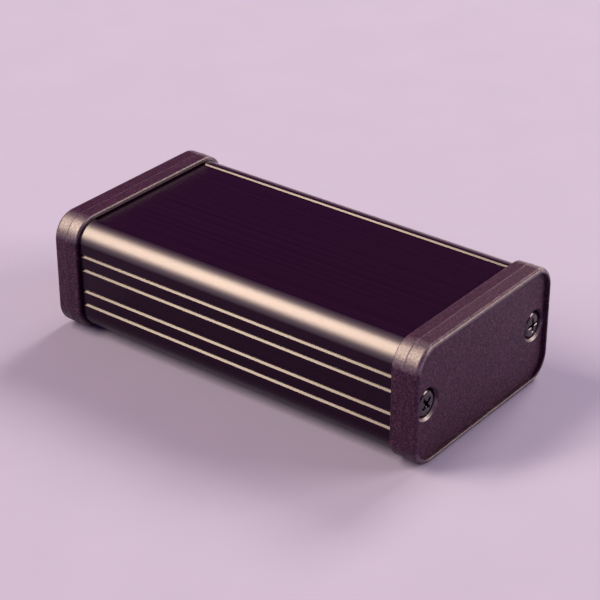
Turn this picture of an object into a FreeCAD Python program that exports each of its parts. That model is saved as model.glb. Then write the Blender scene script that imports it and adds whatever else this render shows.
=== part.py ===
import FreeCAD, Part
import math
import os
import re
import Sketcher

# Small extruded aluminium case with two moulded end panels.
# X runs along the extrusion, +Y to the far long side, +Z up.
# The origin is under the middle of the case, level with the undersides of the two rims.

DOCUMENT = FreeCAD.newDocument("extruded_case")

# Driving dimensions
# Lengths are in millimetres and angles in degrees.
# Each row is a name, a value and what it measures.
DIMENSIONS = [
    ("body_length", 80.0, "cut length of the extrusion"),
    ("body_width", 43.0, "outside width of the extrusion"),
    ("body_height", 23.0, "outside height of the extrusion"),
    ("body_corner", 4.3, "outside radius of the four long corners"),
    ("wall", 1.5, "wall of the extrusion"),
    ("inner_corner", 2.8, "radius of the four long corners inside"),
    ("groove_depth", 0.38, "depth of a decorative V groove, half its width"),
    ("groove_inner", 2.37, "height of the inner grooves above and below the middle"),
    ("groove_outer", 5.43, "height of the outer grooves above and below the middle"),
    ("label_border", 4.75, "from a side to the shallow label recess in the top or the bottom"),
    ("label_depth", 0.3, "depth of the label recess and of its sloping edge"),
    ("channel_inset", 3.6, "from a side's outer face to the middle of its screw channel"),
    ("channel_bore", 2.4, "bore of a screw channel"),
    ("channel_wall", 1.2, "wall round a screw channel"),
    ("channel_mouth", 1.2, "gap along the inner side of a screw channel"),
    ("channel_web", 2.9, "height of the web that joins a screw channel to its wall"),
    ("guide_place", 5.8, "height of a board slot above and below the middle"),
    ("guide_slot", 1.8, "width of a board slot"),
    ("guide_rib", 1.0, "thickness of a board guide rib"),
    ("guide_reach", 1.5, "how far a guide rib stands in from the wall"),
    ("overhang", 1.0, "how far an end panel's rim stands out past the extrusion"),
    ("panel_thickness", 5.85, "an end panel from the edge of its lip to its front"),
    ("socket_depth", 1.85, "how far the extrusion sits inside a panel's lip"),
    ("socket_gap", 0.1, "clearance between the extrusion and a panel's lip"),
    ("parting_place", 3.25, "the mould's parting line, behind the front"),
    ("back_draft", 1.5, "draft of the rim from the parting line to the lip's edge"),
    ("ridge_height", 0.06, "height of the fine ridge at the parting line"),
    ("ridge_width", 0.3, "width of that ridge"),
    ("front_round", 0.75, "rounding of the rim's front edge"),
    ("lip_chamfer", 0.3, "chamfer of the lip's outer edge"),
    ("rim_land", 0.03, "flat between the rounding and the recess"),
    ("recess_depth", 0.8, "depth of the recessed face of an end panel"),
    ("recess_draft", 15.0, "slope of the recess's wall"),
    ("core_side", 0.95, "plastic between a counterbore and the hollow behind an end panel"),
    ("core_border", 4.0, "from the extrusion's top or bottom to that hollow"),
    ("core_depth", 1.2, "depth of that hollow"),
    ("screw_hole", 3.0, "clearance hole for a screw"),
    ("head_gap", 0.2, "clearance round a screw's head in its counterbore"),
    ("counterbore_depth", 2.2, "depth of that counterbore"),
    ("counterbore_chamfer", 0.45, "chamfer round that counterbore's mouth"),
    ("screw_length", 9.5, "length of a screw under its head"),
    ("screw_gap", 0.05, "radial gap between a screw's core and its channel"),
    ("head_width", 5.5, "width of a screw's pan head"),
    ("head_height", 2.1, "height of that head"),
    ("head_round", 0.9, "rounding of the head's top edge"),
    ("cross_span", 3.2, "span of the cross recess in the head"),
    ("cross_slot", 0.8, "width of an arm of the cross"),
    ("cross_depth", 1.0, "depth of the cross recess"),
    ("cross_draft", 12.0, "slope of the cross recess's walls"),
]

SHEET = DOCUMENT.addObject("Spreadsheet::Sheet", "Sizes")
for row, (name, value, meaning) in enumerate(DIMENSIONS, start=1):
    SHEET.set(f"A{row}", meaning)
    SHEET.set(f"B{row}", str(value))
    SHEET.setAlias(f"B{row}", name)
DOCUMENT.recompute()

NAMES = [name for name, value, meaning in DIMENSIONS]

# What stands on both sides of a middle line is drawn once with each sign.
SIGNS = ("-", "")

# An edge this close to a plane counts as lying in it.
FLAT = 1e-4

# Sizes that several pieces share
# The mid-height of the case, an end panel's outside, its front and its screws' seat, both
# measured from the extrusion's end, and the radius of its counterbores.
MIDDLE = "(body_height / 2 + overhang)"
PANEL_WIDTH = "(body_width + 2 * overhang)"
PANEL_HEIGHT = "(body_height + 2 * overhang)"
PANEL_CORNER = "(body_corner + overhang)"
FRONT = "(panel_thickness - socket_depth)"
SCREW_SEAT = "(panel_thickness - socket_depth - recess_depth - counterbore_depth)"
COUNTERBORE = "(head_width / 2 + head_gap)"

# The distance of a screw channel from the case's middle, and the label recess's half width.
CHANNEL = "(body_width / 2 - channel_inset)"
LABEL_EDGE = "(body_width / 2 - label_border)"


def sized(expression):
    """Puts the sheet's name before each dimension in an expression."""
    return re.sub(r"[a-z_]+", lambda m: "Sizes." + m[0] if m[0] in NAMES else m[0], expression)


def bind(item, field, expression):
    """Ties one property of an object to the sheet."""
    item.setExpression(field, sized(expression))


def number(sketch, expression):
    """The present value of an expression, for a shape's first drawing."""
    value = sketch.evalExpression(sized(expression))
    return getattr(value, "Value", value)


def constrain(sketch, expression, kind, *where):
    """Adds a dimension to a sketch and ties it to the sheet."""
    index = sketch.addConstraint(Sketcher.Constraint(kind, *where, number(sketch, expression)))
    bind(sketch, f"Constraints[{index}]", expression)


def sketch_on(body, name, role, offset="0"):
    """Starts a sketch on one of the body's own planes, moved along that plane's normal."""
    sketch = body.newObject("Sketcher::SketchObject", name)
    plane = next(item for item in body.Origin.OriginFeatures if item.Role == role)
    sketch.AttachmentSupport = [(plane, "")]
    sketch.MapMode = "FlatFace"
    bind(sketch, "AttachmentOffset.Base.z", offset)
    DOCUMENT.recompute()
    return sketch


def rounded_rectangle(sketch, width, height, radius):
    """Draws a rectangle with rounded corners, centred on the sketch's origin."""
    half_width = number(sketch, width) / 2
    half_height = number(sketch, height) / 2
    corner = number(sketch, radius)
    ends = [
        ((corner - half_width, -half_height), (half_width - corner, -half_height)),
        ((half_width, corner - half_height), (half_width, half_height - corner)),
        ((half_width - corner, half_height), (corner - half_width, half_height)),
        ((-half_width, half_height - corner), (-half_width, corner - half_height)),
    ]
    sides = []
    arcs = []
    for start, end in ends:
        segment = Part.LineSegment(FreeCAD.Vector(*start, 0), FreeCAD.Vector(*end, 0))
        sides.append(sketch.addGeometry(segment))
    for turn, (x_sign, y_sign) in enumerate(((1, -1), (1, 1), (-1, 1), (-1, -1))):
        centre = FreeCAD.Vector(x_sign * (half_width - corner), y_sign * (half_height - corner), 0)
        circle = Part.Circle(centre, FreeCAD.Vector(0, 0, 1), corner)
        begin = math.radians(90 * turn - 90)
        arcs.append(sketch.addGeometry(Part.ArcOfCircle(circle, begin, begin + math.pi / 2)))
    for turn in range(4):
        sketch.addConstraint(Sketcher.Constraint("Tangent", sides[turn], 2, arcs[turn], 1))
        sketch.addConstraint(Sketcher.Constraint("Tangent", arcs[turn], 2, sides[(turn + 1) % 4], 1))
    for turn in (1, 2, 3):
        sketch.addConstraint(Sketcher.Constraint("Equal", arcs[0], arcs[turn]))
    sketch.addConstraint(Sketcher.Constraint("Horizontal", sides[0]))
    sketch.addConstraint(Sketcher.Constraint("Vertical", sides[1]))
    sketch.addConstraint(Sketcher.Constraint("Symmetric", arcs[0], 3, arcs[2], 3, -1, 1))
    constrain(sketch, radius, "Radius", arcs[0])
    constrain(sketch, f"{width} / 2", "DistanceX", -1, 1, sides[1], 1)
    constrain(sketch, f"{height} / 2", "DistanceY", -1, 1, sides[2], 1)


def polygon(sketch, corners):
    """Draws a closed outline through corners that the sheet places."""
    points = [FreeCAD.Vector(number(sketch, x), number(sketch, y), 0) for x, y in corners]
    count = len(points)
    first = sketch.GeometryCount
    for index in range(count):
        sketch.addGeometry(Part.LineSegment(points[index], points[(index + 1) % count]))
    for index in range(count):
        following = first + (index + 1) % count
        sketch.addConstraint(Sketcher.Constraint("Coincident", first + index, 2, following, 1))
    for index, (x, y) in enumerate(corners):
        constrain(sketch, x, "DistanceX", -1, 1, first + index, 1)
        constrain(sketch, y, "DistanceY", -1, 1, first + index, 1)


def disc(sketch, x, y, radius):
    """Draws a circle whose centre and radius the sheet gives."""
    centre = FreeCAD.Vector(number(sketch, x), number(sketch, y), 0)
    circle = Part.Circle(centre, FreeCAD.Vector(0, 0, 1), number(sketch, radius))
    index = sketch.addGeometry(circle)
    constrain(sketch, x, "DistanceX", -1, 1, index, 3)
    constrain(sketch, y, "DistanceY", -1, 1, index, 3)
    constrain(sketch, radius, "Radius", index)


def extrude(body, kind, name, sketch, length, taper="0", backward=False, both_ways=False):
    """Adds a pad or a pocket with its length and taper tied to the sheet."""
    feature = body.newObject(kind, name)
    feature.Profile = sketch
    feature.Reversed = backward
    if both_ways:
        feature.SideType = "Symmetric"
    bind(feature, "Length", length)
    bind(feature, "TaperAngle", taper)
    DOCUMENT.recompute()
    return feature


def pad(body, name, sketch, length, **options):
    return extrude(body, "PartDesign::Pad", name, sketch, length, **options)


def pocket(body, name, sketch, length, **options):
    """Cuts a pocket, and stops if it takes nothing away."""
    before = body.Shape.Volume
    feature = extrude(body, "PartDesign::Pocket", name, sketch, length, **options)
    if body.Shape.Volume >= before:
        raise RuntimeError(name + " cuts nothing")
    return feature


def dress_edges(body, kind, name, field, size, place):
    """Rounds or chamfers the edges of the body's last feature that lie in the plane at x = place."""
    base = body.Tip
    x = number(SHEET, place)
    edges = []
    for index, edge in enumerate(base.Shape.Edges, start=1):
        box = edge.BoundBox
        if max(abs(box.XMin - x), abs(box.XMax - x)) < FLAT:
            edges.append(f"Edge{index}")
    feature = body.newObject(kind, name)
    feature.Base = (base, edges)
    bind(feature, field, size)
    DOCUMENT.recompute()
    return feature


def new_body(label):
    body = DOCUMENT.addObject("PartDesign::Body", label)
    body.Label = label
    return body


def case_body():
    """The extrusion: one tube with its grooves, recesses, channels and guides drawn by the die."""
    body = new_body("case_body")

    tube = sketch_on(body, "TubeSection", "YZ_Plane")
    rounded_rectangle(tube, "body_width", "body_height", "body_corner")
    rounded_rectangle(tube, "(body_width - 2 * wall)", "(body_height - 2 * wall)", "inner_corner")
    pad(body, "Tube", tube, "body_length", both_ways=True)

    # A screw channel is a thick ring on a short web at mid-height of each side wall.
    channels = sketch_on(body, "ChannelSection", "YZ_Plane")
    for sign in SIGNS:
        disc(channels, f"{sign}{CHANNEL}", "0", "channel_bore / 2 + channel_wall")
    pad(body, "Channels", channels, "body_length", both_ways=True)

    webs = sketch_on(body, "WebSection", "YZ_Plane")
    for sign in SIGNS:
        root = f"{sign}(body_width / 2 - wall / 2)"
        tip = f"{sign}{CHANNEL}"
        polygon(webs, [(root, "-channel_web / 2"), (root, "channel_web / 2"),
                       (tip, "channel_web / 2"), (tip, "-channel_web / 2")])
    pad(body, "Webs", webs, "body_length", both_ways=True)

    # Two ribs above and two below each channel leave a slot between them for a board's edge.
    guides = sketch_on(body, "GuideSection", "YZ_Plane")
    for side in SIGNS:
        root = f"{side}(body_width / 2 - wall / 2)"
        tip = f"{side}(body_width / 2 - wall - guide_reach)"
        for level in SIGNS:
            for slot_side in ("-", "+"):
                inner = f"{level}(guide_place {slot_side} guide_slot / 2)"
                outer = f"{level}(guide_place {slot_side} (guide_slot / 2 + guide_rib))"
                polygon(guides, [(root, inner), (tip, inner), (tip, outer), (root, outer)])
    pad(body, "Guides", guides, "body_length", both_ways=True)

    bores = sketch_on(body, "BoreSection", "YZ_Plane")
    for sign in SIGNS:
        disc(bores, f"{sign}{CHANNEL}", "0", "channel_bore / 2")
    pocket(body, "Bores", bores, "body_length", both_ways=True)

    # The mouth opens the channel towards the middle, so the die needs no loose core.
    mouths = sketch_on(body, "MouthSection", "YZ_Plane")
    for sign in SIGNS:
        inner = f"{sign}({CHANNEL} - channel_bore / 2 - 2 * channel_wall)"
        centre = f"{sign}{CHANNEL}"
        polygon(mouths, [(inner, "-channel_mouth / 2"), (centre, "-channel_mouth / 2"),
                         (centre, "channel_mouth / 2"), (inner, "channel_mouth / 2")])
    pocket(body, "Mouths", mouths, "body_length", both_ways=True)

    # Four fine V grooves run the length of each long side, in two pairs about mid-height.
    grooves = sketch_on(body, "GrooveSection", "YZ_Plane")
    for side in SIGNS:
        face = f"{side}body_width / 2"
        root = f"{side}(body_width / 2 - groove_depth)"
        for level in ("-groove_outer", "-groove_inner", "groove_inner", "groove_outer"):
            polygon(grooves, [(face, f"{level} - groove_depth"), (root, level),
                              (face, f"{level} + groove_depth")])
    pocket(body, "Grooves", grooves, "body_length", both_ways=True)

    # A shallow recess with sloping edges leaves a raised strip beside each long corner.
    labels = sketch_on(body, "LabelSection", "YZ_Plane")
    for side in SIGNS:
        face = f"{side}body_height / 2"
        floor = f"{side}(body_height / 2 - label_depth)"
        polygon(labels, [(f"-{LABEL_EDGE}", face), (LABEL_EDGE, face),
                         (f"{LABEL_EDGE} - label_depth", floor), (f"label_depth - {LABEL_EDGE}", floor)])
    pocket(body, "Labels", labels, "body_length", both_ways=True)

    bind(body, "Placement.Base.z", MIDDLE)
    return body


def end_panel(label, turn):
    """One moulded end panel, drawn with its seat for the extrusion at x = 0 and its front at +X."""
    body = new_body(label)
    seat_to_parting = f"({FRONT} - parting_place)"
    inset = "2 * ridge_height"
    corner = f"({PANEL_CORNER} - ridge_height)"

    front = sketch_on(body, "FrontOutline", "YZ_Plane", seat_to_parting)
    rounded_rectangle(front, f"({PANEL_WIDTH} - {inset})", f"({PANEL_HEIGHT} - {inset})", corner)
    pad(body, "FrontHalf", front, "parting_place")

    dress_edges(body, "PartDesign::Fillet", "FrontRounding", "Radius", "front_round", FRONT)

    back = sketch_on(body, "BackOutline", "YZ_Plane", seat_to_parting)
    rounded_rectangle(back, f"({PANEL_WIDTH} - {inset})", f"({PANEL_HEIGHT} - {inset})", corner)
    pad(body, "BackHalf", back, "panel_thickness - parting_place", taper="-back_draft", backward=True)

    dress_edges(body, "PartDesign::Chamfer", "LipChamfer", "Size", "lip_chamfer", "-socket_depth")

    # The mould's two halves leave a fine ridge where they meet.
    for name, backward in (("FrontRidge", False), ("BackRidge", True)):
        ridge = sketch_on(body, name + "Outline", "YZ_Plane", seat_to_parting)
        rounded_rectangle(ridge, PANEL_WIDTH, PANEL_HEIGHT, PANEL_CORNER)
        slope = "-atan(2 * ridge_height / ridge_width)"
        pad(body, name, ridge, "ridge_width / 2", taper=slope, backward=backward)

    recess = sketch_on(body, "RecessOutline", "YZ_Plane", FRONT)
    border = "(ridge_height + front_round + rim_land)"
    rounded_rectangle(recess, f"({PANEL_WIDTH} - 2 * {border})", f"({PANEL_HEIGHT} - 2 * {border})",
                      f"({PANEL_CORNER} - {border})")
    pocket(body, "Recess", recess, "recess_depth", taper="-recess_draft")

    socket = sketch_on(body, "SocketOutline", "YZ_Plane")
    rounded_rectangle(socket, "(body_width + 2 * socket_gap)", "(body_height + 2 * socket_gap)",
                      "(body_corner + socket_gap)")
    pocket(body, "Socket", socket, "socket_depth")

    core = sketch_on(body, "CoreOutline", "YZ_Plane")
    side = f"({CHANNEL} - {COUNTERBORE} - core_side)"
    top = "(body_height / 2 - core_border)"
    polygon(core, [(f"-{side}", f"-{top}"), (side, f"-{top}"), (side, top), (f"-{side}", top)])
    pocket(body, "Core", core, "core_depth", backward=True)

    holes = sketch_on(body, "HoleCircles", "YZ_Plane", FRONT)
    heads = sketch_on(body, "HeadCircles", "YZ_Plane", FRONT)
    mouths = sketch_on(body, "MouthCircles", "YZ_Plane", f"{FRONT} - recess_depth")
    for sign in SIGNS:
        disc(holes, f"{sign}{CHANNEL}", "0", "screw_hole / 2")
        disc(heads, f"{sign}{CHANNEL}", "0", COUNTERBORE)
        disc(mouths, f"{sign}{CHANNEL}", "0", f"{COUNTERBORE} + counterbore_chamfer")
    pocket(body, "Holes", holes, "panel_thickness")
    pocket(body, "Counterbores", heads, "recess_depth + counterbore_depth")
    pocket(body, "CounterboreChamfers", mouths, "counterbore_chamfer", taper="-45")

    body.Placement.Rotation = FreeCAD.Rotation(FreeCAD.Vector(0, 0, 1), turn)
    bind(body, "Placement.Base.x", "body_length / 2" if turn == 0 else "-body_length / 2")
    bind(body, "Placement.Base.z", MIDDLE)
    return body


def screw():
    """One pan-head self-tapping screw along X, its head seated at x = 0 and its tip at -X."""
    body = new_body("screw")
    core = "(channel_bore / 2 - screw_gap)"

    # The pan head's rounding is two short cones that meet on its arc.
    bulge = "head_round * (1 - cos(45))"
    half = sketch_on(body, "ScrewHalf", "XY_Plane")
    polygon(half, [("head_height", "0"), ("head_height", "head_width / 2 - head_round"),
                   (f"head_height - {bulge}", f"head_width / 2 - {bulge}"),
                   ("head_height - head_round", "head_width / 2"), ("0", "head_width / 2"),
                   ("0", core), ("-screw_length", core), ("-screw_length", "0")])
    turned = body.newObject("PartDesign::Revolution", "Turned")
    turned.Profile = half
    axis = next(item for item in body.Origin.OriginFeatures if item.Role == "X_Axis")
    turned.ReferenceAxis = (axis, [""])
    turned.Angle = 360
    DOCUMENT.recompute()

    for name, long_side, short_side in (("CrossAcross", "cross_span", "cross_slot"),
                                        ("CrossUpright", "cross_slot", "cross_span")):
        arm = sketch_on(body, name + "Outline", "YZ_Plane", "head_height")
        polygon(arm, [(f"-{long_side} / 2", f"-{short_side} / 2"), (f"{long_side} / 2", f"-{short_side} / 2"),
                      (f"{long_side} / 2", f"{short_side} / 2"), (f"-{long_side} / 2", f"{short_side} / 2")])
        pocket(body, name, arm, "cross_depth", taper="-cross_draft")

    bind(body, "Placement.Base.x", f"body_length / 2 + {SCREW_SEAT}")
    bind(body, "Placement.Base.y", CHANNEL)
    bind(body, "Placement.Base.z", MIDDLE)
    return body


def mirrored(source, label, normal):
    """A copy of a piece on the other side of the case's middle."""
    copy = DOCUMENT.addObject("Part::Mirroring", label)
    copy.Source = source
    copy.Normal = normal
    DOCUMENT.recompute()
    return copy


def panel_screws():
    """The four identical screws, two through each end panel."""
    first = screw()
    across = FreeCAD.Vector(0, 1, 0)
    along = FreeCAD.Vector(1, 0, 0)
    second = mirrored(first, "screw_near_side", across)
    third = mirrored(first, "screw_far_end", along)
    fourth = mirrored(second, "screw_far_end_near_side", along)
    group = DOCUMENT.addObject("Part::Compound", "panel_screws")
    group.Label = "panel_screws"
    group.Links = [first, second, third, fourth]
    return group


PIECES = [
    case_body(),
    end_panel("end_panel_right", 0),
    end_panel("end_panel_left", 180),
    panel_screws(),
]
DOCUMENT.recompute()

# Nothing is written unless every feature and every piece came out sound.
for item in DOCUMENT.Objects:
    if "Invalid" in item.State or "Error" in item.State:
        raise RuntimeError(item.Label + " failed: " + str(item.State))

os.makedirs("parts", exist_ok=True)
for piece in PIECES:
    shape = piece.Shape
    if shape.isNull() or not shape.isValid():
        raise RuntimeError(piece.Label + " has no sound shape")
    shape.exportStep(f"parts/{piece.Label}.step")
    box = shape.BoundBox
    print(f"{piece.Label}: {len(shape.Solids)} solid(s), {shape.Volume:.1f} mm3,",
          f"x {box.XMin:.2f} to {box.XMax:.2f}, y {box.YMin:.2f} to {box.YMax:.2f},",
          f"z {box.ZMin:.2f} to {box.ZMax:.2f}")
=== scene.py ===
# %% [markdown]
# A small instrument case: a black anodised aluminium extrusion, closed at both ends by a
# moulded plastic panel that two pan-head screws hold. The CAD model gives every size and
# place. This script gives the pieces their fine shape and their finish, then sets the
# camera, the lamps and the floor. Everything is in metres, with X along the extrusion.

import math

import bmesh
import bpy
from mathutils import Matrix, Vector


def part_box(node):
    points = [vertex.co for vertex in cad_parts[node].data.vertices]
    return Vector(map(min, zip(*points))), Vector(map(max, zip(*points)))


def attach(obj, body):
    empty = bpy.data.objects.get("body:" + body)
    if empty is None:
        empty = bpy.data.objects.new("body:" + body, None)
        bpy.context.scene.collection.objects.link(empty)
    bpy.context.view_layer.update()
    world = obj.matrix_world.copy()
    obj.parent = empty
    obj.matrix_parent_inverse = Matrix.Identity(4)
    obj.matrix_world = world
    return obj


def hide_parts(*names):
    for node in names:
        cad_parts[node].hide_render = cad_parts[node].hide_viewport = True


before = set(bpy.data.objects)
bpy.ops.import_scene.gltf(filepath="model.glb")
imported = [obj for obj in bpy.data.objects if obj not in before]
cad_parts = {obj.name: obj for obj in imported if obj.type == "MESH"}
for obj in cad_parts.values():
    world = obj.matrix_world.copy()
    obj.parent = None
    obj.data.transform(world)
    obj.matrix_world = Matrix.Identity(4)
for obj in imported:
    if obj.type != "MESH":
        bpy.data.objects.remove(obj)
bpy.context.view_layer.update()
MM = 0.001

# %% [markdown]
# The sizes that the pieces share come from the boxes of the CAD nodes: the extrusion's
# section and length, and how far an end panel stands out past it. The few that no box
# gives, such as a fillet, are named here once with what they are on the real case.

# %% Sizes
body_low, body_high = (Vector(corner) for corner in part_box("case_body"))
panel_low, panel_high = (Vector(corner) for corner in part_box("end_panel_right"))
screws_high = Vector(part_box("panel_screws")[1])

body_size = body_high - body_low
panel_size = panel_high - panel_low
middle_height = (body_low.z + body_high.z) / 2
front_place = panel_high.x
seat_place = body_high.x
lip_place = panel_low.x

overhang = (panel_size.y - body_size.y) / 2
body_corner = 4.3 * MM
panel_corner = body_corner + overhang
socket_gap = 0.1 * MM
parting_from_front = 3.25 * MM
ridge_height = 0.06 * MM
ridge_half = 0.15 * MM
back_draft = math.radians(1.5)
front_round = 0.75 * MM
lip_round = 0.3 * MM
recess_depth = 0.8 * MM
recess_slope = math.radians(8)
core_size = (28.0 * MM, 15.0 * MM)
core_corner = 0.2 * MM
core_depth = 1.2 * MM

counterbore_radius = 2.95 * MM
counterbore_depth = 2.2 * MM
counterbore_chamfer = 0.45 * MM
mouth_radius = counterbore_radius + counterbore_chamfer
hole_radius = 1.5 * MM
head_radius = 2.75 * MM
head_round = 0.9 * MM
channel_place = screws_high.y - head_radius
head_seat = front_place - recess_depth - counterbore_depth
head_top = screws_high.x
screw_length = 9.5 * MM
screw_tip = head_seat - screw_length
core_radius = 1.15 * MM
print("Extrusion, mm:", [round(value / MM, 2) for value in body_size])
print("End panel, mm:", [round(value / MM, 2) for value in panel_size])
print("Screws stand", round(channel_place / MM, 2), "mm from the middle")

# %% [markdown]
# The camera first. Its place and lens were worked out from the photograph's own straight
# lines, so the render and the photograph can be laid over each other. The photograph is
# 600 pixels wide, so a focal length in pixels becomes one for a 36 mm sensor.

# %% Camera
CAMERA_PLACE = Vector((203.16, -261.15, 194.35)) * MM
CAMERA_AIM = Vector((0.67, -0.16, 11.53)) * MM
FOCAL_PIXELS = 1918.4
PHOTO_WIDTH = 600
SENSOR = 36.0

camera_data = bpy.data.cameras.new("camera")
camera_data.sensor_fit = "HORIZONTAL"
camera_data.sensor_width = SENSOR
camera_data.lens = FOCAL_PIXELS * SENSOR / PHOTO_WIDTH
camera_data.clip_start = 0.01
camera = bpy.data.objects.new("camera", camera_data)
camera.location = CAMERA_PLACE
camera.rotation_euler = (CAMERA_AIM - CAMERA_PLACE).to_track_quat("-Z", "Y").to_euler()
bpy.context.collection.objects.link(camera)
bpy.context.scene.camera = camera
bpy.context.scene.view_settings.view_transform = "Standard"
print("Lens:", round(camera_data.lens, 1), "mm")

# %% [markdown]
# Three soft boxes light the case from three metres away, and its bright edges tell where
# they stand: an edge is bright where its surface mirrors a lamp to the camera. The key lamp
# draws the broad band along the near long corner, so its long side lies across the
# extrusion. The back lamp draws the front edges of the panels, and the top lamp lights the
# rims from behind without showing in the flat top. A lamp's power follows from how bright
# its face should look, and all stay at a plain level, at which the floor keeps its own pale
# colour. The world adds a faint purple light from all sides, so no shadow is quite black.

# %% Lamps
CASE_MIDDLE = Vector((0, 0, middle_height))
LAMP_DISTANCE = 3.0
WARM = (1.0, 0.84, 0.70)
WARMEST = (1.0, 0.79, 0.59)
ACROSS_THE_CASE = Vector((0, 0.72, 0.69))
LEVEL = Vector((-0.65, 0.76, 0))


def soft_box(name, direction, along, length, width, brightness, colour):
    """A lamp that faces the case, its length along a given line and its face of a given brightness."""
    data = bpy.data.lights.new(name, "AREA")
    data.shape = "RECTANGLE"
    data.size = length
    data.size_y = width
    data.color = colour
    data.energy = brightness * math.pi * length * width
    lamp = bpy.data.objects.new(name, data)
    back = Vector(direction).normalized()
    long_side = (along - along.dot(back) * back).normalized()
    turn = Matrix((long_side, back.cross(long_side), back)).transposed()
    lamp.location = CASE_MIDDLE + back * LAMP_DISTANCE
    lamp.rotation_euler = turn.to_euler()
    bpy.context.collection.objects.link(lamp)
    print(name, "power:", round(data.energy, 1), "W")


soft_box("key_lamp", (-0.55, -0.46, 0.70), ACROSS_THE_CASE,
         length=2.6, width=0.6, brightness=16.5, colour=WARMEST)
soft_box("back_lamp", (0.66, 0.61, 0.40), LEVEL,
         length=1.6, width=0.9, brightness=11.5, colour=WARM)
soft_box("top_lamp", (-0.06, 0.79, 0.61), LEVEL,
         length=0.8, width=1.2, brightness=17.0, colour=WARM)

# %% World
ROOM_COLOUR = (0.14, 0.05, 0.17, 1)

world = bpy.data.worlds.new("studio")
world.use_nodes = True
background = world.node_tree.nodes["Background"]
background.inputs["Color"].default_value = ROOM_COLOUR
background.inputs["Strength"].default_value = 1.0
bpy.context.scene.world = world
print("Room colour:", ROOM_COLOUR[:3])

# %% [markdown]
# A finish is a Principled BSDF whose colour, roughness and bump vary over the surface.
# The variations that several finishes share are node groups, built once: lines drawn by
# the extrusion die, the fine grain of a spark-eroded mould, the specks of dust that any
# black case gathers, and a painted sheen, a gloss coat weighted onto the places where
# highlights fall. Each reads Object coordinates, which are metres here, because every
# piece lies at the origin with its place in its mesh. So the scale of a noise is its
# number of cells in a metre.

# %% Helpers for node trees


def new_group(name, inputs, outputs):
    """A shader node group with number inputs and outputs, and its two end nodes."""
    group = bpy.data.node_groups.new(name, "ShaderNodeTree")
    for label, value in inputs:
        socket = group.interface.new_socket(label, in_out="INPUT", socket_type="NodeSocketFloat")
        socket.default_value = value
    for label in outputs:
        group.interface.new_socket(label, in_out="OUTPUT", socket_type="NodeSocketFloat")
    start = group.nodes.new("NodeGroupInput")
    end = group.nodes.new("NodeGroupOutput")
    return group, start, end


def math_node(tree, operation, first, second=0.0):
    """A Math node, with each input a socket or a number."""
    node = tree.nodes.new("ShaderNodeMath")
    node.operation = operation
    for index, value in enumerate((first, second)):
        if isinstance(value, bpy.types.NodeSocket):
            tree.links.new(value, node.inputs[index])
        else:
            node.inputs[index].default_value = value
    return node.outputs[0]


def stretched_noise(tree, scale, detail, roughness=0.5, start=(0, 0, 0)):
    """Noise over Object coordinates, with its own cells per metre along each axis."""
    coordinates = tree.nodes.new("ShaderNodeTexCoord")
    mapping = tree.nodes.new("ShaderNodeMapping")
    mapping.inputs["Scale"].default_value = scale
    mapping.inputs["Location"].default_value = start
    noise = tree.nodes.new("ShaderNodeTexNoise")
    noise.inputs["Scale"].default_value = 1.0
    noise.inputs["Detail"].default_value = detail
    noise.inputs["Roughness"].default_value = roughness
    tree.links.new(coordinates.outputs["Object"], mapping.inputs["Vector"])
    tree.links.new(mapping.outputs["Vector"], noise.inputs["Vector"])
    return noise.outputs["Fac"]


def ramp(tree, value, low, high):
    """Maps low to 0 and high to 1 in a straight line, held at both ends."""
    node = tree.nodes.new("ShaderNodeMapRange")
    node.inputs["From Min"].default_value = low
    node.inputs["From Max"].default_value = high
    tree.links.new(value, node.inputs["Value"])
    return node.outputs["Result"]


# %% Die lines, mould grain and dust
FINE_LINES = (6.0, 20000.0, 20000.0)
BROAD_LINES = (3.0, 1100.0, 1100.0)
BROAD_START = (5.0, 2.0, 0.0)
STREAK_RANGE = (0.3, 0.7)


def make_die_lines():
    """Fine lengthwise lines, as a height and as a mask of brighter and duller streaks."""
    group, _, end = new_group("die_lines", [], ["Height", "Streaks"])
    fine = stretched_noise(group, FINE_LINES, detail=1.0)
    broad = stretched_noise(group, BROAD_LINES, detail=3.0, start=BROAD_START)
    group.links.new(fine, end.inputs["Height"])
    group.links.new(ramp(group, broad, *STREAK_RANGE), end.inputs["Streaks"])
    return group


MOTTLE_CELLS = (2400.0, 2400.0, 2400.0)
MOTTLE_RANGE = (0.44, 0.78)


def make_mould_grain():
    """The small rounded pits and bumps of a spark-eroded mould, with a slow mottle."""
    group, start, end = new_group("mould_grain", [("Cells per metre", 3200.0)], ["Height", "Mottle"])
    coordinates = group.nodes.new("ShaderNodeTexCoord")
    fine = group.nodes.new("ShaderNodeTexNoise")
    fine.inputs["Detail"].default_value = 3.0
    fine.inputs["Roughness"].default_value = 0.65
    group.links.new(coordinates.outputs["Object"], fine.inputs["Vector"])
    group.links.new(start.outputs["Cells per metre"], fine.inputs["Scale"])
    mottle = stretched_noise(group, MOTTLE_CELLS, detail=2.0, roughness=0.6)
    group.links.new(fine.outputs["Fac"], end.inputs["Height"])
    group.links.new(ramp(group, mottle, *MOTTLE_RANGE), end.inputs["Mottle"])
    return group


DUST_CELLS = 420.0


def make_dust():
    """A few pale specks of dust, each a small dot at a random place."""
    group, start, end = new_group("dust", [("Speck size", 0.04), ("Share", 0.02)], ["Mask"])
    coordinates = group.nodes.new("ShaderNodeTexCoord")
    cells = group.nodes.new("ShaderNodeTexVoronoi")
    cells.inputs["Scale"].default_value = DUST_CELLS
    group.links.new(coordinates.outputs["Object"], cells.inputs["Vector"])
    near = math_node(group, "LESS_THAN", cells.outputs["Distance"], start.outputs["Speck size"])
    split = group.nodes.new("ShaderNodeSeparateColor")
    group.links.new(cells.outputs["Color"], split.inputs["Color"])
    chosen = math_node(group, "LESS_THAN", split.outputs["Red"], start.outputs["Share"])
    group.links.new(math_node(group, "MULTIPLY", near, chosen), end.inputs["Mask"])
    return group


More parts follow.
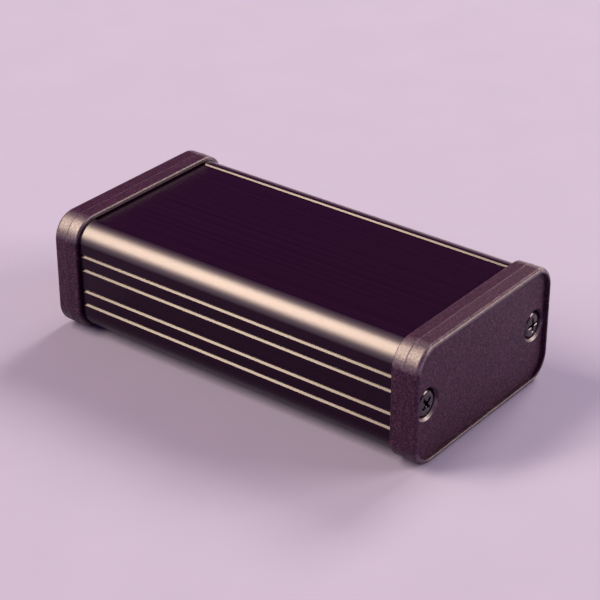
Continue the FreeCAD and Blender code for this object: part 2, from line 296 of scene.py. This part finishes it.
DIE_LINES = make_die_lines()
MOULD_GRAIN = make_mould_grain()
DUST = make_dust()
print("Groups that vary a surface:", [group.name for group in (DIE_LINES, MOULD_GRAIN, DUST)])

# %% [markdown]
# The painted sheen follows from the case's shape: a mask of the places where highlights
# fall, which weights a gloss coat so that they shine brighter than the lamps alone make
# them. It covers an upper corner between the two flats that it joins, the rims along the
# level runs of their front edges and lips, and a counterbore on its lower side. A mask
# finds the three from the place of each point, and every one of them fades in over a
# short way.

# %% Where the sheen is painted
FADE_PAST_TOP = (0.1 * MM, 1.4 * MM)
FADE_PAST_SIDE = (0.6 * MM, 1.9 * MM)
SKIN_DEPTH = 0.7 * MM
FRONT_EDGE = (front_place - 0.35 * MM, front_place - 0.1 * MM)
LIP_EDGE = (1.5 * lip_round, 0.0)
FADE_TO_LEVEL = (0.8 * MM, 3.0 * MM)
FADE_DOWN = (0.0, -1.8 * MM)


def distance_node(tree, first, second):
    """The long side of a right angle whose two short sides are given."""
    squares = [math_node(tree, "MULTIPLY", side, side) for side in (first, second)]
    return math_node(tree, "SQRT", math_node(tree, "ADD", *squares))


def sheen_corners(group, past_width, past_height, corner):
    """The painted sheen on the upper corners, down to a little under their skin."""
    from_top = ramp(group, past_width, *FADE_PAST_TOP)
    from_side = ramp(group, past_height, *FADE_PAST_SIDE)
    bend = math_node(group, "MINIMUM", from_top, from_side)
    skin = math_node(group, "SUBTRACT", corner, SKIN_DEPTH)
    outside = math_node(group, "GREATER_THAN", distance_node(group, past_width, past_height), skin)
    return math_node(group, "MULTIPLY", bend, outside)


def sheen_edges(group, along, height, flat_half_height):
    """The painted sheen on the level runs of the front edges and of the lips."""
    front = ramp(group, along, *FRONT_EDGE)
    from_lip = math_node(group, "ABSOLUTE", math_node(group, "SUBTRACT", along, lip_place))
    both = math_node(group, "MAXIMUM", front, ramp(group, from_lip, *LIP_EDGE))
    upright = math_node(group, "ABSOLUTE", height)
    past_side = math_node(group, "SUBTRACT", upright, flat_half_height)
    return math_node(group, "MULTIPLY", both, ramp(group, past_side, *FADE_TO_LEVEL))


def sheen_counterbores(group, across, height):
    """The painted sheen on the lower half of each counterbore, with its chamfer."""
    from_screw = math_node(group, "SUBTRACT", across, channel_place)
    inside = math_node(group, "LESS_THAN", distance_node(group, from_screw, height), mouth_radius)
    return math_node(group, "MULTIPLY", inside, ramp(group, height, *FADE_DOWN))


def make_sheen_mask():
    """A mask of the painted sheen, for a section with flats and corners of a given size."""
    labels = ("Flat half width", "Flat half height", "Corner", "Rim")
    group, start, end = new_group("painted_sheen", [(label, 0.0) for label in labels], ["Mask"])
    coordinates = group.nodes.new("ShaderNodeTexCoord")
    split = group.nodes.new("ShaderNodeSeparateXYZ")
    group.links.new(coordinates.outputs["Object"], split.inputs["Vector"])
    along = math_node(group, "ABSOLUTE", split.outputs["X"])
    across = math_node(group, "ABSOLUTE", split.outputs["Y"])
    height = math_node(group, "SUBTRACT", split.outputs["Z"], middle_height)
    past_width = math_node(group, "SUBTRACT", across, start.outputs["Flat half width"])
    past_height = math_node(group, "SUBTRACT", height, start.outputs["Flat half height"])
    corners = sheen_corners(group, past_width, past_height, start.outputs["Corner"])
    edges = sheen_edges(group, along, height, start.outputs["Flat half height"])
    edges = math_node(group, "MULTIPLY", edges, start.outputs["Rim"])
    counterbores = sheen_counterbores(group, across, height)
    sheen = math_node(group, "MAXIMUM", math_node(group, "MAXIMUM", corners, edges), counterbores)
    group.links.new(sheen, end.inputs["Mask"])
    return group


SHEEN_MASK = make_sheen_mask()
print("The mask's inputs:", [item.name for item in SHEEN_MASK.interface.items_tree if item.in_out == "INPUT"])

# %% [markdown]
# With the groups in hand, each finish is short. Black anodising is a dyed oxide layer on
# the metal: dark, with a satin gloss that the die lines draw out along the case. Its groove
# walls and recess slopes take a lit copy of it, lighter and glossier: painted highlight.
# The panels are matt black plastic, and the screws blackened steel. The painted sheen is a
# thin gloss coat over the finish, weighted by the mask, so the corners show a broad pale
# highlight while the flat sides stay dark. On the groove walls and on the screws the coat
# has one weight everywhere.

# %% Helpers for finishes


def new_finish(name):
    """A material with its Principled BSDF."""
    material = bpy.data.materials.new(name)
    material.use_nodes = True
    return material, material.node_tree, material.node_tree.nodes["Principled BSDF"]


def place_group(tree, group, **values):
    """Places a node group in a material with its own values."""
    node = tree.nodes.new("ShaderNodeGroup")
    node.node_tree = group
    for label, value in values.items():
        node.inputs[label.replace("_", " ")].default_value = value
    return node


def blend_colours(tree, mask, low, high):
    """A colour between two, chosen by a mask socket."""
    mix = tree.nodes.new("ShaderNodeMix")
    mix.data_type = "RGBA"
    tree.links.new(mask, mix.inputs["Factor"])
    for label, colour in (("A", low), ("B", high)):
        socket = next(item for item in mix.inputs if item.name == label and item.type == "RGBA")
        if isinstance(colour, bpy.types.NodeSocket):
            tree.links.new(colour, socket)
        else:
            socket.default_value = (*colour, 1)
    return next(item for item in mix.outputs if item.type == "RGBA")


def between(tree, mask, low, high):
    """A number between two, chosen by a mask socket."""
    node = tree.nodes.new("ShaderNodeMapRange")
    node.inputs["To Min"].default_value = low
    node.inputs["To Max"].default_value = high
    tree.links.new(mask, node.inputs["Value"])
    return node.outputs["Result"]


def gloss_coat(surface, roughness, ior, weight=0.0):
    """The gloss coat's own values, which stay the same all over the surface."""
    surface.inputs["Coat Weight"].default_value = weight
    surface.inputs["Coat Roughness"].default_value = roughness
    surface.inputs["Coat IOR"].default_value = ior


def coat_where_sheen_is_painted(tree, surface, size, corner, rim=0.0, patches=1.0):
    """Weights a piece's gloss coat by the mask of painted sheen, from the size of its section."""
    mask = place_group(tree, SHEEN_MASK, Flat_half_width=size.y / 2 - corner,
                       Flat_half_height=size.z / 2 - corner, Corner=corner, Rim=rim)
    weight = math_node(tree, "MULTIPLY", mask.outputs["Mask"], patches)
    tree.links.new(weight, surface.inputs["Coat Weight"])


def add_bump(tree, height, distance):
    """A Bump node that turns a height socket into a normal, with the height's scale in metres."""
    bump = tree.nodes.new("ShaderNodeBump")
    bump.inputs["Distance"].default_value = distance
    bump.inputs["Strength"].default_value = 1.0
    tree.links.new(height, bump.inputs["Height"])
    return bump.outputs["Normal"]


# %% Anodised aluminium
METAL_DULL = (0.009, 0.0015, 0.010)
METAL_BRIGHT = (0.014, 0.003, 0.015)
METAL_DUST = (0.30, 0.27, 0.30)
METAL_TINT = (1.0, 0.65, 0.92, 1)
METAL_ROUGHNESS = (0.15, 0.19)
LINE_HEIGHT = 0.013 * MM
GROOVE_LIT_DULL = (0.020, 0.004, 0.010)
GROOVE_LIT_BRIGHT = (0.052, 0.018, 0.030)
GROOVE_LIT_ROUGHNESS = (0.18, 0.26)


def make_anodised():
    """Black anodising, with die lines, dust and painted sheen on the upper corners."""
    material, tree, surface = new_finish("black_anodised_aluminium")
    lines = place_group(tree, DIE_LINES)
    dust = place_group(tree, DUST, Speck_size=0.035, Share=0.03)
    metal = blend_colours(tree, lines.outputs["Streaks"], METAL_DULL, METAL_BRIGHT)
    colour = blend_colours(tree, dust.outputs["Mask"], metal, METAL_DUST)
    tree.links.new(colour, surface.inputs["Base Color"])
    tree.links.new(between(tree, lines.outputs["Streaks"], *METAL_ROUGHNESS), surface.inputs["Roughness"])
    tree.links.new(add_bump(tree, lines.outputs["Height"], LINE_HEIGHT), surface.inputs["Normal"])
    surface.inputs["Specular IOR Level"].default_value = 0.16
    surface.inputs["Specular Tint"].default_value = METAL_TINT
    gloss_coat(surface, roughness=0.42, ior=2.6)
    coat_where_sheen_is_painted(tree, surface, body_size, body_corner)
    return material


def make_lit_groove_copy():
    """A lit copy of the anodising for the groove walls and recess slopes: lighter and glossier, a painted
    highlight.
    """
    material, tree, surface = new_finish("lit_copy_anodised_grooves")
    lines = place_group(tree, DIE_LINES)
    colour = blend_colours(tree, lines.outputs["Streaks"], GROOVE_LIT_DULL, GROOVE_LIT_BRIGHT)
    tree.links.new(colour, surface.inputs["Base Color"])
    tree.links.new(between(tree, lines.outputs["Streaks"], *GROOVE_LIT_ROUGHNESS), surface.inputs["Roughness"])
    gloss_coat(surface, roughness=0.2, ior=1.6, weight=0.2)
    return material


ANODISED = make_anodised()
LIT_GROOVES = make_lit_groove_copy()
print("Metal finishes:", ANODISED.name, "and", LIT_GROOVES.name)

# %% [markdown]
# The panels' mould was spark-eroded, which leaves a fine matt grain. The grain's mottle also
# thins the painted sheen in patches, so the painted highlight on the rims looks grainy.

# %% Matt moulded plastic
PLASTIC_DARK = (0.016, 0.004, 0.014)
PLASTIC_PALE = (0.124, 0.041, 0.096)
PLASTIC_DUST = (0.25, 0.22, 0.25)
PLASTIC_TINT = (0.92, 0.66, 0.95, 1)
PLASTIC_ROUGHNESS = (0.45, 0.32)
GLOSS_PATCHES = (0.6, 1.0)
GRAIN_HEIGHT = 0.06 * MM


def make_plastic():
    """Matt black plastic, with mould grain, dust and painted sheen on rims and counterbores."""
    material, tree, surface = new_finish("matt_black_plastic")
    grain = place_group(tree, MOULD_GRAIN)
    dust = place_group(tree, DUST, Speck_size=0.03, Share=0.02)
    plastic = blend_colours(tree, grain.outputs["Mottle"], PLASTIC_DARK, PLASTIC_PALE)
    colour = blend_colours(tree, dust.outputs["Mask"], plastic, PLASTIC_DUST)
    tree.links.new(colour, surface.inputs["Base Color"])
    tree.links.new(between(tree, grain.outputs["Mottle"], *PLASTIC_ROUGHNESS), surface.inputs["Roughness"])
    tree.links.new(add_bump(tree, grain.outputs["Height"], GRAIN_HEIGHT), surface.inputs["Normal"])
    surface.inputs["Specular IOR Level"].default_value = 0.35
    surface.inputs["Specular Tint"].default_value = PLASTIC_TINT
    gloss_coat(surface, roughness=0.46, ior=3.0)
    patches = between(tree, grain.outputs["Mottle"], *GLOSS_PATCHES)
    coat_where_sheen_is_painted(tree, surface, panel_size, panel_corner, rim=0.6, patches=patches)
    return material


PLASTIC = make_plastic()
print("Panel finish:", PLASTIC.name)

# %% [markdown]
# The screws are steel with a black finish. It is metal right through, so Metallic is 1 and
# the dark colour tints what it mirrors, while a thin gloss coat keeps the highlights pale.

# %% Blackened steel
STEEL_DARK = (0.014, 0.005, 0.018)
STEEL_PALE = (0.058, 0.033, 0.050)
STEEL_ROUGHNESS = (0.24, 0.34)
STEEL_CELLS = 9000.0
STEEL_GRAIN_HEIGHT = 0.004 * MM


def make_steel():
    """Blackened steel with a much finer grain than the plastic's."""
    material, tree, surface = new_finish("blackened_screw_steel")
    grain = place_group(tree, MOULD_GRAIN, Cells_per_metre=STEEL_CELLS)
    colour = blend_colours(tree, grain.outputs["Mottle"], STEEL_DARK, STEEL_PALE)
    tree.links.new(colour, surface.inputs["Base Color"])
    tree.links.new(between(tree, grain.outputs["Mottle"], *STEEL_ROUGHNESS), surface.inputs["Roughness"])
    tree.links.new(add_bump(tree, grain.outputs["Height"], STEEL_GRAIN_HEIGHT), surface.inputs["Normal"])
    surface.inputs["Metallic"].default_value = 1.0
    gloss_coat(surface, roughness=0.19, ior=1.8, weight=0.6)
    return material


STEEL = make_steel()
print("Screw finish:", STEEL.name)

# %% [markdown]
# The floor is one plain pale square, six metres wide so that no edge shows, with a tone that
# varies just enough to look like paper. It is staged, so it isn't part of the object.

# %% Floor
FLOOR_HALF = 3.0
FLOOR_CELLS = (60.0, 60.0, 60.0)
FLOOR_DARK = (0.50, 0.51, 0.71)
FLOOR_PALE = (0.54, 0.55, 0.75)


def make_floor():
    """The ground that the case stands on."""
    material, tree, surface = new_finish("pale_floor")
    tone = stretched_noise(tree, FLOOR_CELLS, detail=4.0)
    colour = blend_colours(tree, tone, FLOOR_DARK, FLOOR_PALE)
    tree.links.new(colour, surface.inputs["Base Color"])
    surface.inputs["Roughness"].default_value = 0.9
    mesh = bpy.data.meshes.new("floor")
    bm = bmesh.new()
    bmesh.ops.create_grid(bm, x_segments=1, y_segments=1, size=FLOOR_HALF)
    bm.to_mesh(mesh)
    bm.free()
    mesh.materials.append(material)
    floor = bpy.data.objects.new("floor", mesh)
    bpy.context.collection.objects.link(floor)
    print("Floor is", 2 * FLOOR_HALF, "m wide")


make_floor()

# %% [markdown]
# Every new piece ends the same way: its bmesh becomes an object at the origin, smooth
# where its faces meet gently and crisp where they don't, with its finish and its CAD body,
# and the CAD node that it stands for is hidden.

# %% Finishing a piece
SMOOTH_UP_TO = math.radians(32)
MERGE_WITHIN = 1e-7


def finish_piece(bm, name, material, node):
    """Turns a bmesh into a finished piece in place of a CAD node."""
    bmesh.ops.recalc_face_normals(bm, faces=bm.faces)
    mesh = bpy.data.meshes.new(name)
    bm.to_mesh(mesh)
    bm.free()
    mesh.polygons.foreach_set("use_smooth", [True] * len(mesh.polygons))
    mesh.set_sharp_from_angle(angle=SMOOTH_UP_TO)
    mesh.materials.append(material)
    piece = bpy.data.objects.new(name, mesh)
    bpy.context.collection.objects.link(piece)
    normals = piece.modifiers.new("flat faces stay flat", "WEIGHTED_NORMAL")
    normals.keep_sharp = True
    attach(piece, "root")
    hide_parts(node)
    print(name, "has", len(mesh.polygons), "faces")
    return piece


# %% [markdown]
# The extrusion's section is already exact in the CAD mesh, inside and out, and it is the
# same from end to end. What it lacks is the hair-fine rounding that every edge of an
# extrusion has, which is what catches the light. So a copy of the mesh is merged, its
# flat triangles are joined into whole faces, and its long sharp edges get a small bevel.
# The walls of the fine grooves in its sides, and the slopes at the edges of the flat
# recesses in its top and bottom, then take the lit copy of the finish: painted highlight
# on the lines that catch the key lamp.

# %% The extruded case
EDGE_BREAK = 0.05 * MM
GROOVE_DEPTH = 0.38 * MM
SLOPE_DEPTH = 0.28 * MM
COPLANAR = math.radians(0.3)
SHARP_FROM = math.radians(25)
NEARLY_ALL = 0.99
LIT_COPY_SLOT = 1


def runs_along_x(edge):
    """Whether an edge runs the length of the extrusion."""
    step = edge.verts[1].co - edge.verts[0].co
    return abs(step.x) > NEARLY_ALL * body_size.x


def gets_lit_copy(point):
    """Whether a point lies in a fine groove of a long side, or on a slope beside a flat recess, where the
    painted highlight goes.
    """
    outward = abs(point.y)
    upward = abs(point.z - middle_height)
    below_side = body_size.y / 2 - outward
    below_top = body_size.z / 2 - upward
    on_groove = upward < body_size.z / 2 - body_corner and MERGE_WITHIN < below_side < GROOVE_DEPTH
    on_slope = outward < body_size.y / 2 - body_corner and MERGE_WITHIN < below_top < SLOPE_DEPTH
    return on_groove or on_slope


def make_case_body():
    """The extrusion, from a merged copy of its CAD mesh."""
    bm = bmesh.new()
    bm.from_mesh(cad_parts["case_body"].data)
    bmesh.ops.remove_doubles(bm, verts=bm.verts, dist=MERGE_WITHIN)
    bmesh.ops.dissolve_limit(bm, angle_limit=COPLANAR, verts=bm.verts, edges=bm.edges)
    sharp = [edge for edge in bm.edges
             if runs_along_x(edge) and edge.is_manifold and edge.calc_face_angle() > SHARP_FROM]
    print("Sharp long edges:", len(sharp))
    bmesh.ops.bevel(bm, geom=sharp, offset=EDGE_BREAK, offset_type="OFFSET", segments=2, profile=0.5,
                    affect="EDGES", clamp_overlap=True, material=-1)
    # The lit copy of the finish, painted highlight, goes on the groove walls and recess slopes.
    lit_faces = [face for face in bm.faces if gets_lit_copy(face.calc_center_median())]
    for face in lit_faces:
        face.material_index = LIT_COPY_SLOT
    print("Faces with the brighter finish:", len(lit_faces))
    piece = finish_piece(bm, "extruded_case", ANODISED, "case_body")
    piece.data.materials.append(LIT_GROOVES)


make_case_body()

# %% [markdown]
# An end panel is one moulding. Seen from the side it is a stack of rounded rectangles:
# out from the parting line to the rounded front edge, over into the recess, and the other
# way to the lip and the socket for the extrusion. That is a face that is inset and moved
# again and again, so the whole rim comes from one operator and a short list of steps.

# %% Rounded rectangles and insets
CORNER_STEPS = 14
HALF_UNIT = 0.5


def rounded_face(bm, width, height, corner, place):
    """A unit square, scaled and bevelled into a rounded rectangle in the plane x = place, facing +X."""
    made = bmesh.ops.create_grid(bm, x_segments=1, y_segments=1, size=HALF_UNIT)
    verts = made["verts"]
    turn = Matrix.Rotation(math.radians(90), 4, "Y")
    size = Matrix.Diagonal((1, width, height, 1))
    move = Matrix.Translation((place, 0, middle_height))
    bmesh.ops.transform(bm, matrix=move @ size @ turn, verts=verts)
    bmesh.ops.bevel(bm, geom=verts, offset=corner, offset_type="OFFSET", segments=CORNER_STEPS,
                    profile=0.5, affect="VERTICES", material=-1)
    near = [face for face in bm.faces if abs(face.calc_center_median().x - place) < MERGE_WITHIN]
    return min(near, key=lambda face: face.calc_perimeter())


def close_open_edge(bm):
    """Fills the one open edge of a mesh with a face."""
    open_edges = [edge for edge in bm.edges if edge.is_boundary]
    return bmesh.ops.contextual_create(bm, geom=open_edges)["faces"][0]


def inset(bm, face, inward, forward):
    """Insets a face and moves it along its own normal."""
    bmesh.ops.inset_region(bm, faces=[face], thickness=inward, depth=forward, use_boundary=True,
                           use_even_offset=True)


print("Rounded rectangles have", CORNER_STEPS, "steps to a corner")

# %% The rim, step by step
ROUND_STEPS = 8
LIP_STEPS = 4
INNER_STEPS = 3
rim_land = 0.03 * MM
inner_round = 0.15 * MM


def quarter_turn(steps):
    """Where each step of a quarter turn starts and ends, as angles."""
    angles = [math.pi / 2 * index / steps for index in range(steps + 1)]
    return zip(angles, angles[1:])


def outer_round(radius, steps):
    """A quarter round that starts straight forward and ends straight in."""
    return [(radius * (math.cos(before) - math.cos(after)), radius * (math.sin(after) - math.sin(before)))
            for before, after in quarter_turn(steps)]


def front_steps():
    """The rim from the parting line to the recess floor: how far in, and how far forward."""
    straight = parting_from_front - ridge_half - front_round
    steps = [(ridge_height, ridge_half), (0.0, straight)]
    steps += outer_round(front_round, ROUND_STEPS)
    steps.append((rim_land, 0.0))
    for before, after in quarter_turn(INNER_STEPS):
        steps.append((inner_round * (math.sin(after) - math.sin(before)),
                      inner_round * (math.cos(after) - math.cos(before))))
    wall = recess_depth - inner_round
    steps.append((wall * math.tan(recess_slope), -wall))
    return steps


def back_steps():
    """The rim from the parting line to the seat: over the ridge, up the draft and round the lip."""
    straight = panel_size.x - parting_from_front - ridge_half - lip_round
    steps = [(ridge_height, ridge_half), (straight * math.tan(back_draft), straight)]
    steps += outer_round(lip_round, LIP_STEPS)
    used = sum(inward for inward, forward in steps)
    steps.append((overhang - socket_gap - used, 0.0))
    steps.append((0.0, -(seat_place - lip_place)))
    return steps


print("Steps to the front:", [[round(value / MM, 2) for value in step] for step in front_steps()])
print("Steps to the seat:", [[round(value / MM, 2) for value in step] for step in back_steps()])

# %% [markdown]
# The screws pass through two stepped holes. A flat face can't have a hole in it, so the
# recess floor is filled anew between its outline and the holes' circles. From there the
# counterbore, its floor and the clearance hole are again one loop, extruded and scaled.

# %% The holes for the screws
CIRCLE_STEPS = 48


def ring(bm, y, radius, place):
    """A circle of edges in the plane x = place, round a screw's middle line."""
    turn = Matrix.Rotation(math.radians(90), 4, "Y")
    move = Matrix.Translation((place, y, middle_height))
    made = bmesh.ops.create_circle(bm, cap_ends=False, segments=CIRCLE_STEPS, radius=radius,
                                   matrix=move @ turn)
    return list({edge for vert in made["verts"] for edge in vert.link_edges})


def fill_round(bm, face, rings):
    """Replaces a flat face by one that has the rings as holes."""
    edges = list(face.edges)
    bmesh.ops.delete(bm, geom=[face], context="FACES_ONLY")
    bmesh.ops.triangle_fill(bm, use_beauty=True, use_dissolve=False, edges=edges + rings)


def step_ring(bm, edges, y, radius, old_radius, forward):
    """Extrudes a ring of edges along X and scales it to a new radius."""
    made = bmesh.ops.extrude_edge_only(bm, edges=edges)["geom"]
    verts = [item for item in made if isinstance(item, bmesh.types.BMVert)]
    bmesh.ops.translate(bm, verts=verts, vec=(forward, 0, 0))
    space = Matrix.Translation((0, -y, -middle_height))
    factor = radius / old_radius
    bmesh.ops.scale(bm, verts=verts, vec=(1, factor, factor), space=space)
    return [item for item in made if isinstance(item, bmesh.types.BMEdge)
            and all(vert in verts for vert in item.verts)]


def drill(bm, front, back):
    """Makes both stepped holes between the recess floor and the seat."""
    rings = {}
    back_rings = {}
    for y in (-channel_place, channel_place):
        rings[y] = ring(bm, y, mouth_radius, front.calc_center_median().x)
        back_rings[y] = ring(bm, y, hole_radius, back.calc_center_median().x)
    hollow = rounded_face(bm, *core_size, core_corner, seat_place)
    if hollow.normal.x > 0:
        hollow.normal_flip()
    fill_round(bm, front, sum(rings.values(), []))
    fill_round(bm, back, sum(back_rings.values(), list(hollow.edges)))
    inset(bm, hollow, 0.0, -core_depth)
    for y, edges in rings.items():
        edges = step_ring(bm, edges, y, counterbore_radius, mouth_radius, -counterbore_chamfer)
        edges = step_ring(bm, edges, y, counterbore_radius, counterbore_radius,
                          counterbore_chamfer - counterbore_depth)
        edges = step_ring(bm, edges, y, hole_radius, counterbore_radius, 0.0)
        bmesh.ops.bridge_loops(bm, edges=edges + back_rings[y])


# %% The end panels


def make_end_panel(name, node, turned):
    """An end panel, built for the end in view and turned round for the far one."""
    bm = bmesh.new()
    parting = front_place - parting_from_front
    front = rounded_face(bm, panel_size.y, panel_size.z, panel_corner, parting)
    for inward, forward in front_steps():
        inset(bm, front, inward, forward)
    back = close_open_edge(bm)
    back.normal_update()
    if back.normal.x > 0:
        back.normal_flip()
    for inward, forward in back_steps():
        inset(bm, back, inward, forward)
    drill(bm, front, back)
    if turned:
        bmesh.ops.rotate(bm, verts=bm.verts, cent=(0, 0, 0), matrix=Matrix.Rotation(math.pi, 3, "Z"))
    finish_piece(bm, name, PLASTIC, node)


make_end_panel("end_panel_in_view", "end_panel_right", False)
make_end_panel("end_panel_far", "end_panel_left", True)

# %% [markdown]
# A pan-head screw is a turned shape, so half its outline is spun about its middle line.
# The cross in the head is not turned: the flat middle of the head is filled between its
# rim and the outline of a cross, and the cross is inset again and again to its bottom.

# %% The screws
HEAD_STEPS = 8
SPIN_STEPS = 48
HEAD_CROWN = 0.22 * MM
CROSS_REACH = 1.6 * MM
CROSS_HALF = 0.4 * MM
CROSS_CORNER = 0.14 * MM
CROSS_CORNERS = 12
CROSS_STEPS = [(0.14 * MM, -0.14 * MM), (0.09 * MM, -0.66 * MM), (0.11 * MM, -0.20 * MM)]
CROSS_TURNS = {(1, 1): math.radians(3), (1, -1): math.radians(38),
               (-1, 1): math.radians(62), (-1, -1): math.radians(24)}


def head_outline():
    """Half the screw's outline from the flat of its head to its tip: along X, and out."""
    points = []
    for index in range(HEAD_STEPS + 1):
        angle = math.pi / 2 * index / HEAD_STEPS
        points.append((head_top - head_round * (1 - math.cos(angle)),
                       head_radius - head_round * (1 - math.sin(angle))))
    points.append((head_seat, head_radius))
    points.append((head_seat, core_radius))
    points.append((screw_tip, core_radius))
    points.append((screw_tip, 0.0))
    return points


def cross_face(bm, place):
    """A face shaped like a cross with rounded ends, in the plane x = place."""
    made = bmesh.ops.create_grid(bm, x_segments=3, y_segments=3, size=HALF_UNIT)
    verts = made["verts"]
    for vert in verts:
        for axis in (0, 1):
            outer = abs(vert.co[axis]) > HALF_UNIT / 2
            vert.co[axis] = math.copysign(CROSS_REACH if outer else CROSS_HALF, vert.co[axis])
    faces = list({face for vert in verts for face in vert.link_faces})
    spare = [face for face in faces
             if all(abs(value) > CROSS_HALF for value in face.calc_center_median()[:2])]
    bmesh.ops.delete(bm, geom=spare, context="FACES")
    kept = [face for face in faces if face.is_valid]
    cross = bmesh.ops.dissolve_faces(bm, faces=kept, use_verts=False)["region"][0]
    bmesh.ops.bevel(bm, geom=list(cross.verts), offset=CROSS_CORNER, offset_type="OFFSET", segments=3,
                    profile=0.5, affect="VERTICES", material=-1)
    cross = next(face for face in bm.faces if len(face.verts) > CROSS_CORNERS)
    turn = Matrix.Translation((place, 0, 0)) @ Matrix.Rotation(math.radians(90), 4, "Y")
    bmesh.ops.transform(bm, matrix=turn, verts=list(cross.verts))
    return cross


def make_screw(bm, place, turn):
    """Adds one screw to the bmesh, moved to its place and turned to where it was tightened."""
    points = [bm.verts.new((x, 0.0, out)) for x, out in head_outline()]
    chain = [bm.edges.new(pair) for pair in zip(points, points[1:])]
    bmesh.ops.spin(bm, geom=points + chain, cent=(0, 0, 0), axis=(1, 0, 0), angle=2 * math.pi,
                   steps=SPIN_STEPS, use_merge=True, use_duplicate=False)
    bmesh.ops.remove_doubles(bm, verts=bm.verts, dist=MERGE_WITHIN)
    rim = [edge for edge in bm.edges if edge.is_boundary]
    cross = cross_face(bm, head_top)
    outline = list(cross.edges)
    bmesh.ops.delete(bm, geom=[cross], context="FACES_ONLY")
    bmesh.ops.triangle_fill(bm, use_beauty=True, use_dissolve=False, edges=rim + outline)
    floor = close_open_edge(bm)
    floor.normal_update()
    if floor.normal.x < 0:
        floor.normal_flip()
    for inward, forward in CROSS_STEPS:
        inset(bm, floor, inward, forward)
    for vert in bm.verts:
        if vert.co.x > head_seat + HEAD_CROWN:
            out = math.hypot(vert.co.y, vert.co.z) / head_radius
            vert.co.x -= HEAD_CROWN * out * out
    bmesh.ops.transform(bm, matrix=place @ Matrix.Rotation(turn, 4, "X"), verts=bm.verts)


def make_screws():
    """All four screws as one piece, as their CAD node holds all four."""
    whole = bmesh.new()
    for end in (1, -1):
        for side in (1, -1):
            one = bmesh.new()
            place = Matrix.Translation((0, side * channel_place, middle_height))
            if end < 0:
                place = Matrix.Rotation(math.pi, 4, "Z") @ place
            make_screw(one, place, CROSS_TURNS[end, side])
            mesh = bpy.data.meshes.new("one_screw")
            one.to_mesh(mesh)
            one.free()
            whole.from_mesh(mesh)
            bpy.data.meshes.remove(mesh)
    finish_piece(whole, "pan_head_screws", STEEL, "panel_screws")


make_screws()
